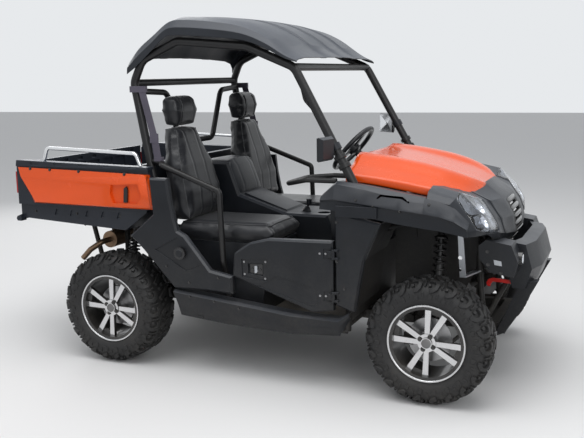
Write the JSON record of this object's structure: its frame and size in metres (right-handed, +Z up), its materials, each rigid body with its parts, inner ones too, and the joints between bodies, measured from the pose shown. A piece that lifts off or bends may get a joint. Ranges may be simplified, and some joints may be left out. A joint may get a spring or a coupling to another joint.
{
  "type": "side by side utv",
  "caption": "Two-seat side-by-side utility vehicle with a roof on a tube cage, half doors and a tipping cargo bed.",
  "frame": {"origin": "on the ground under the middle of the vehicle", "axes": "+X towards the front, +Y towards the driver's left side, +Z up"},
  "size_m": [3.008, 1.5248, 1.9647],
  "materials": {
    "body_orange": "glossy moulded-in orange",
    "black_plastic": "fine-grained matt charcoal",
    "bed_plastic": "ribbed blue-grey black",
    "black_steel": "satin black powder coat",
    "tyre_rubber": "matt black",
    "wheel_alloy": "machined faces on a black barrel",
    "brake_steel": "turned",
    "chrome_tube": "polished",
    "cast_alloy": "as cast",
    "seat_vinyl": "satin black vinyl",
    "lamp_lens": "clear",
    "red_lens": "glossy red",
    "muffler_steel": "heat-tinted",
    "belt_webbing": "woven black webbing",
    "red_steel": "red powder coat"
  },
  "bodies": {
    "chassis": {"bumper": "black_plastic", "console": "black_plastic", "cowl_panels": "black_plastic", "dash": "black_plastic", "engine": "cast_alloy", "fascia": "black_plastic", "fender_stays": "brake_steel", "fenders": "body_orange", "floor": "black_plastic", "frame": "black_steel", "front_arms": "black_steel", "gearcases": "cast_alloy", "grab_bars": "black_steel", "grille": "black_plastic", "half_shafts": "brake_steel", "headlamps": "lamp_lens", "headrests": "seat_vinyl", "hood": "body_orange", "mirrors": "black_plastic", "muffler": "muffler_steel", "quarter_panels": "black_plastic", "radiator": "cast_alloy", "rear_arms": "black_steel", "rear_knuckles": "cast_alloy", "roll_cage": "black_steel", "roof": "black_plastic", "seat_backs": "seat_vinyl", "seat_bases": "black_plastic", "seat_belts": "belt_webbing", "seat_cushions": "seat_vinyl", "shocks": "black_steel", "sills": "black_plastic", "steering_column": "black_steel", "tow_hook": "red_steel", "wheel_liners": "black_plastic"},
    "bed": {"bed_tub": "bed_plastic", "bed_panels": "body_orange", "bed_caps": "bed_plastic", "bed_rails": "chrome_tube", "tail_lamps": "red_lens"},
    "tailgate": {"tailgate": "bed_plastic"},
    "door_left": {"door_left": "body_orange"},
    "door_right": {"door_right": "body_orange"},
    "steering_wheel": {"steering_wheel": "black_plastic"},
    "steering_rack": {"steering_rack": "brake_steel"},
    "knuckle_left": {"knuckle_left": "cast_alloy"},
    "knuckle_right": {"knuckle_right": "cast_alloy"},
    "wheel_front_left": {"tyre_front_left": "tyre_rubber", "rim_front_left": "wheel_alloy", "disc_front_left": "brake_steel"},
    "wheel_front_right": {"tyre_front_right": "tyre_rubber", "rim_front_right": "wheel_alloy", "disc_front_right": "brake_steel"},
    "wheel_rear_left": {"tyre_rear_left": "tyre_rubber", "rim_rear_left": "wheel_alloy", "disc_rear_left": "brake_steel"},
    "wheel_rear_right": {"tyre_rear_right": "tyre_rubber", "rim_rear_right": "wheel_alloy", "disc_rear_right": "brake_steel"}
  },
  "joints": [
    {"name": "roll_front_left", "type": "hinge", "parent": "knuckle_left", "child": "wheel_front_left", "pos_m": [1.02, 0.64, 0.32], "axis": [0, 1, 0], "continuous": true},
    {"name": "roll_front_right", "type": "hinge", "parent": "knuckle_right", "child": "wheel_front_right", "pos_m": [1.02, -0.64, 0.32], "axis": [0, 1, 0], "continuous": true},
    {"name": "roll_rear_left", "type": "hinge", "parent": "chassis", "child": "wheel_rear_left", "pos_m": [-0.84, 0.62, 0.32], "axis": [0, 1, 0], "continuous": true},
    {"name": "roll_rear_right", "type": "hinge", "parent": "chassis", "child": "wheel_rear_right", "pos_m": [-0.84, -0.62, 0.32], "axis": [0, 1, 0], "continuous": true},
    {"name": "steer_left", "type": "hinge", "parent": "chassis", "child": "knuckle_left", "pos_m": [1.02, 0.585, 0.32], "axis": [0, 0, 1], "range_deg": [-28, 28]},
    {"name": "steer_right", "type": "hinge", "parent": "chassis", "child": "knuckle_right", "pos_m": [1.02, -0.585, 0.32], "axis": [0, 0, 1], "range_deg": [-28, 28]},
    {"name": "rack_slide", "type": "slide", "parent": "chassis", "child": "steering_rack", "axis": [0, -1, 0], "range_m": [-0.0515, 0.0515]},
    {"name": "steering_turn", "type": "hinge", "parent": "chassis", "child": "steering_wheel", "pos_m": [0.256, 0.402, 1.168], "axis": [-0.7501, 0, 0.6613], "range_deg": [-253, 253]},
    {"name": "open_door_left", "type": "hinge", "parent": "chassis", "child": "door_left", "pos_m": [0.545, 0.739, 0.625], "axis": [0, 0, -1], "range_deg": [0, 70]},
    {"name": "open_door_right", "type": "hinge", "parent": "chassis", "child": "door_right", "pos_m": [0.545, -0.739, 0.625], "axis": [0, 0, 1], "range_deg": [0, 70]},
    {"name": "tip_bed", "type": "hinge", "parent": "chassis", "child": "bed", "pos_m": [-1.29, 0, 0.735], "axis": [0, -1, 0], "range_deg": [0, 40]},
    {"name": "drop_tailgate", "type": "hinge", "parent": "bed", "child": "tailgate", "pos_m": [-1.496, 0, 0.806], "axis": [0, -1, 0], "range_deg": [0, 90]}
  ],
  "couplings": [
    {"joint": "steer_right", "follows": "steer_left", "ratio": 1},
    {"joint": "rack_slide", "follows": "steer_left", "m_per_rad": 0.105},
    {"joint": "steering_turn", "follows": "steer_left", "ratio": 9}
  ]
}
